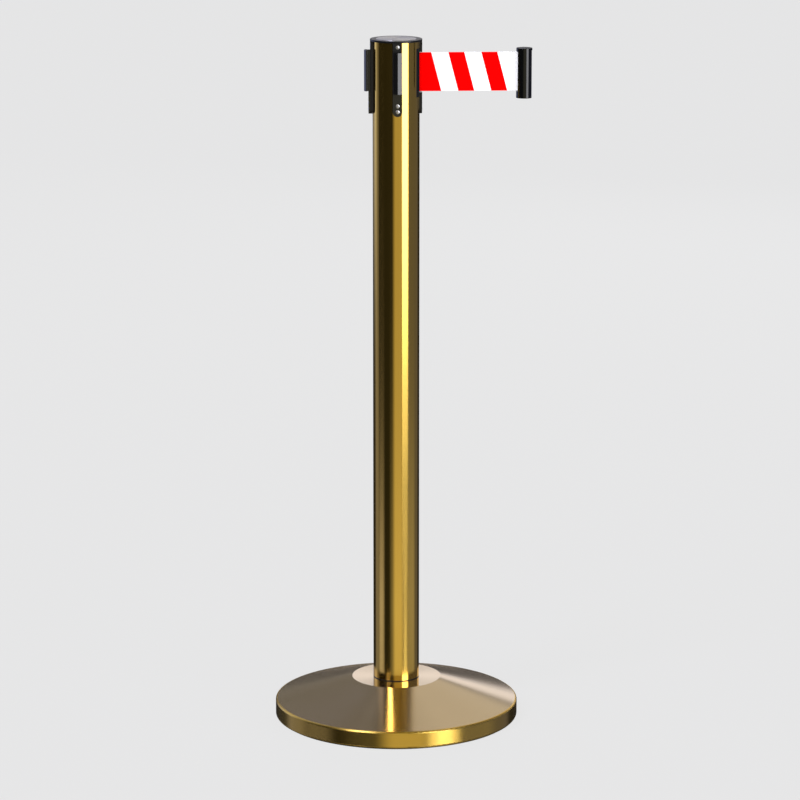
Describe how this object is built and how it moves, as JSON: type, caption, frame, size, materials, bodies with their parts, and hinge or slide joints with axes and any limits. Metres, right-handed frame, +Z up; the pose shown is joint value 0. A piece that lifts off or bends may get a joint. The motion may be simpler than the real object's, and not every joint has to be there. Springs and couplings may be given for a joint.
{
  "type": "retractable belt stanchion",
  "caption": "Free-standing queue post with a weighted round base and a striped retractable belt that ends in a slotted clip.",
  "frame": {"origin": "middle of the floor pad's underside, on the post's axis", "axes": "+Z up along the post, +X the way the belt leaves the head"},
  "size_m": [0.3349, 0.32, 0.9],
  "materials": {
    "polished_brass": "polished titanium-gold plated steel",
    "black_plastic": "moulded black plastic",
    "black_steel": "black painted steel",
    "gloss_black_plastic": "glossy black plastic",
    "rubber": "black rubber",
    "cast_iron": "raw casting",
    "zinc_steel": "zinc plated",
    "bright_screws": "bright plated",
    "dark_screws": "black oxide",
    "steel": "ground steel",
    "spring_steel": "blued spring steel",
    "bushes": "acetal",
    "white_plastic": "acetal",
    "brake_lining": "brake lining",
    "belt_webbing": "woven polyester, red and white diagonal stripes",
    "satin_disc": "satin anodised"
  },
  "bodies": {
    "post": {"floor_pad": "rubber", "base_weight": "cast_iron", "base_cover": "polished_brass", "base_bolt": "zinc_steel", "base_spring_washer": "zinc_steel", "base_washer": "zinc_steel", "post_foot_plug": "black_steel", "post_tube": "polished_brass", "cassette_body": "black_plastic", "cassette_lid": "black_plastic", "lid_screws": "dark_screws", "partition": "black_plastic", "lower_bush": "bushes", "upper_bush": "bushes", "guide_pin": "steel", "power_spring": "spring_steel", "brake_drum": "steel", "top_cap": "black_plastic", "cap_screws": "dark_screws", "cap_disc": "satin_disc", "receiver_front": "black_plastic", "receiver_left": "black_plastic", "receiver_back": "black_plastic", "strip_screws": "bright_screws", "receiver_screws": "bright_screws"},
    "spool": {"spool_axle": "steel", "axle_clip": "steel", "spool_hub": "black_plastic", "spool_flange": "black_plastic", "belt_roll": "belt_webbing", "brake_rotor": "black_plastic", "brake_pins": "steel"},
    "brake_shoe_a": {"brake_shoe_a": "brake_lining"},
    "brake_shoe_b": {"brake_shoe_b": "brake_lining"},
    "guide_roller": {"guide_roller": "white_plastic"},
    "belt_end": {"clip_body": "gloss_black_plastic", "clip_cap": "gloss_black_plastic", "clip_pin": "steel", "belt_run": "belt_webbing"}
  },
  "joints": [
    {"name": "belt_pull", "type": "slide", "parent": "post", "child": "belt_end", "axis": [1, 0, 0], "range_m": [-0.12, 1.88], "stiffness_N_per_m": 2, "springref_m": -3, "deforming": ["belt_run"]},
    {"name": "spool_spin", "type": "hinge", "parent": "post", "child": "spool", "pos_m": [0, 0, 0.857], "axis": [0, 0, 1], "range_deg": [-540, 8449], "deforming": ["power_spring"]},
    {"name": "guide_spin", "type": "hinge", "parent": "post", "child": "guide_roller", "pos_m": [0.023, -0.0028, 0.857], "axis": [0, 0, 1], "range_deg": [-43087, 2751]},
    {"name": "brake_shoe_a_swing", "type": "hinge", "parent": "spool", "child": "brake_shoe_a", "pos_m": [0.01316, 0.00479, 0.8877], "axis": [0, 0, -1], "range_deg": [0, 4], "stiffness_Nm_per_rad": 0.002},
    {"name": "brake_shoe_b_swing", "type": "hinge", "parent": "spool", "child": "brake_shoe_b", "pos_m": [-0.01316, -0.00479, 0.8877], "axis": [0, 0, -1], "range_deg": [0, 4], "stiffness_Nm_per_rad": 0.002}
  ],
  "couplings": [
    {"joint": "spool_spin", "follows": "belt_pull", "rad_per_m": 78.43},
    {"joint": "guide_spin", "follows": "belt_pull", "rad_per_m": -400},
    {"joint": "brake_shoe_b_swing", "follows": "brake_shoe_a_swing", "ratio": 1}
  ]
}
